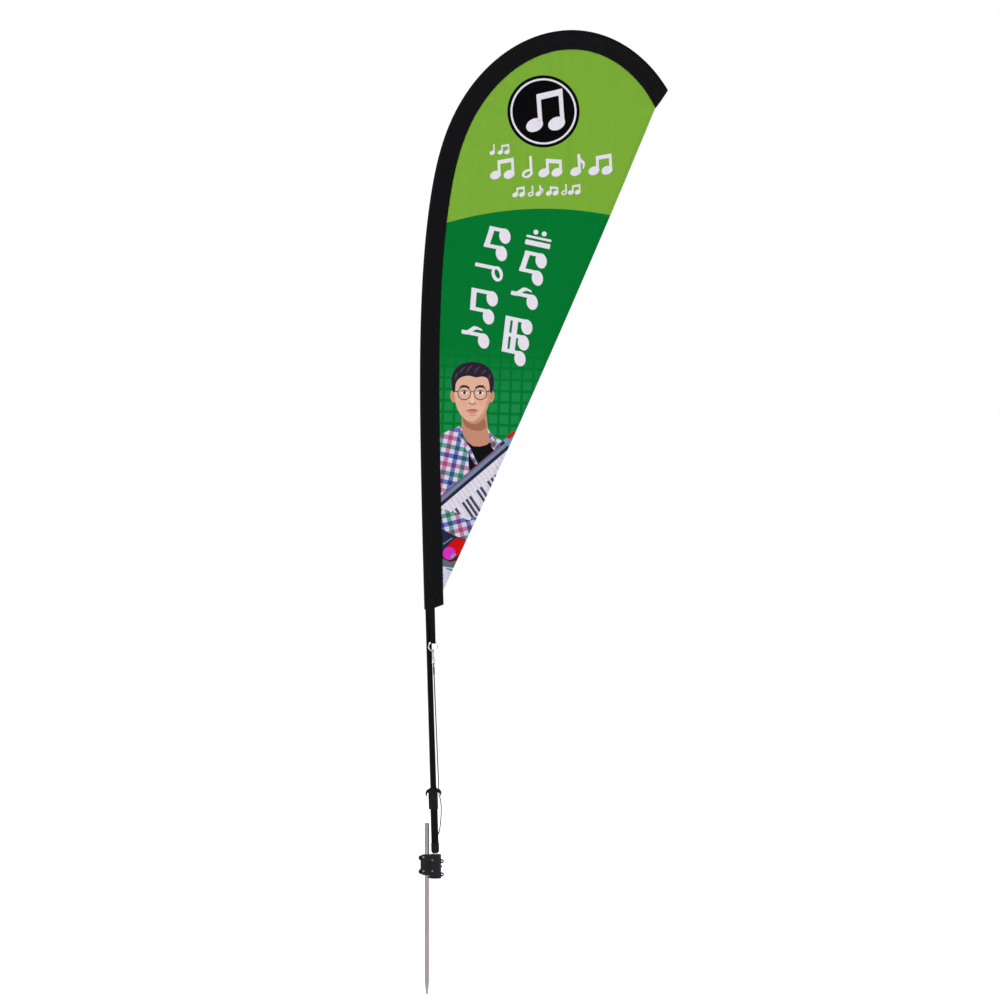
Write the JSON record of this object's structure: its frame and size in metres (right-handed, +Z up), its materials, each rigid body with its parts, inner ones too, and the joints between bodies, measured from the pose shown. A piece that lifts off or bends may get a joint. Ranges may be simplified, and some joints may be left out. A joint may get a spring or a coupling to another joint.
{
  "type": "teardrop flag",
  "caption": "Printed teardrop flag on a bent pole, held taut by an elastic cord, turning on a ball-bearing spindle clamped to a ground spike.",
  "frame": {"origin": "on the ground spike's axis, at ground level, level with the underside of the bearing housing", "axes": "+Z up along the spike, +X towards the flag's free edge, -Y towards the viewer, the flag lies in the XZ plane"},
  "size_m": [0.6491, 0.0369, 2.5075],
  "materials": {
    "spike_steel": "zinc-plated rod, satin",
    "housing_nylon": "moulded black nylon, fine texture",
    "fastener_steel": "zinc-plated screws and nuts",
    "bearing_steel": "ground bearing steel",
    "cage_nylon": "moulded cage",
    "spindle_steel": "turned steel",
    "seal_rubber": "moulded seal",
    "foot_nylon": "moulded cap and collar",
    "tube_paint": "satin black paint on tube",
    "pole_glass_fibre": "black fibre rod, semi-gloss",
    "ferrule_metal": "drawn sleeve",
    "tip_rubber": "pushed-on cap",
    "sleeve_cloth": "black woven pole sleeve",
    "panel_cloth": "printed knitted polyester",
    "webbing": "black woven webbing",
    "hardware_chrome": "nickel-plated ring and hook",
    "cord_cover": "braided elastic cord",
    "crimp_plastic": "crimped collar on the cord"
  },
  "bodies": {
    "spike": {"ground_spike": "spike_steel"},
    "housing": {"housing_front": "housing_nylon", "housing_rear": "housing_nylon", "housing_bottom_cap": "housing_nylon", "spindle_seal": "seal_rubber", "lower_bearing_outer_race": "bearing_steel", "upper_bearing_outer_race": "bearing_steel", "housing_screw_1": "fastener_steel", "housing_screw_2": "fastener_steel", "housing_screw_3": "fastener_steel", "housing_screw_4": "fastener_steel", "housing_nut_1": "fastener_steel", "housing_nut_2": "fastener_steel", "housing_nut_3": "fastener_steel", "housing_nut_4": "fastener_steel"},
    "spindle": {"spindle": "spindle_steel", "spindle_nut": "spindle_steel", "spindle_washer": "spindle_steel", "lower_bearing_inner_race": "bearing_steel", "upper_bearing_inner_race": "bearing_steel"},
    "lower_balls": {"lower_bearing_ball_cage": "cage_nylon"},
    "upper_balls": {"upper_bearing_ball_cage": "cage_nylon"},
    "pole": {"foot_cap": "foot_nylon", "foot_tube": "tube_paint", "cleat_collar": "foot_nylon", "pole_lower": "tube_paint", "lower_ferrule": "ferrule_metal", "pole_middle": "pole_glass_fibre", "upper_ferrule": "ferrule_metal", "pole_top": "pole_glass_fibre", "tip_cap": "tip_rubber", "tip_pocket": "sleeve_cloth", "pole_sleeve": "sleeve_cloth", "flag_panel": "panel_cloth", "strap_loop": "webbing", "swivel_eye": "hardware_chrome", "cord_loop": "cord_cover", "cord_crimp": "crimp_plastic", "tension_cord": "cord_cover", "cord_knot": "cord_cover"},
    "ring": {"tension_ring": "hardware_chrome"},
    "hook": {"hook_body": "hardware_chrome", "gate_pin": "hardware_chrome"},
    "gate": {"hook_gate": "hardware_chrome"}
  },
  "joints": [
    {"name": "housing_slide", "type": "slide", "parent": "spike", "child": "housing", "axis": [0, 0, 1], "range_m": [0, 0.07]},
    {"name": "spindle_spin", "type": "hinge", "parent": "housing", "child": "spindle", "pos_m": [0.0218, 0, 0.03], "axis": [0, 0, 1], "continuous": true},
    {"name": "lower_balls_roll", "type": "hinge", "parent": "housing", "child": "lower_balls", "pos_m": [0.0218, 0, 0.0119], "axis": [0, 0, 1], "continuous": true},
    {"name": "upper_balls_roll", "type": "hinge", "parent": "housing", "child": "upper_balls", "pos_m": [0.0218, 0, 0.0559], "axis": [0, 0, 1], "continuous": true},
    {"name": "pole_lift", "type": "slide", "parent": "spindle", "child": "pole", "axis": [0, 0, 1], "range_m": [0, 0.05]},
    {"name": "ring_rock", "type": "hinge", "parent": "pole", "child": "ring", "pos_m": [0.0164, -0.0126, 0.615], "axis": [1, 0, 0], "range_deg": [-3, 3]},
    {"name": "hook_swivel", "type": "hinge", "parent": "pole", "child": "hook", "pos_m": [0.0164, -0.0126, 0.591], "axis": [-0.0401, -0.0352, 0.9986], "range_deg": [-15, 15]},
    {"name": "gate_open", "type": "hinge", "parent": "hook", "child": "gate", "pos_m": [0.01707, -0.01691, 0.57405], "axis": [-0.9992, 0.0014, -0.0401], "range_deg": [0, 22], "stiffness_Nm_per_rad": 0.05, "springref_deg": -11.46}
  ],
  "couplings": [
    {"joint": "lower_balls_roll", "follows": "spindle_spin", "ratio": 0.368},
    {"joint": "upper_balls_roll", "follows": "spindle_spin", "ratio": 0.368}
  ]
}
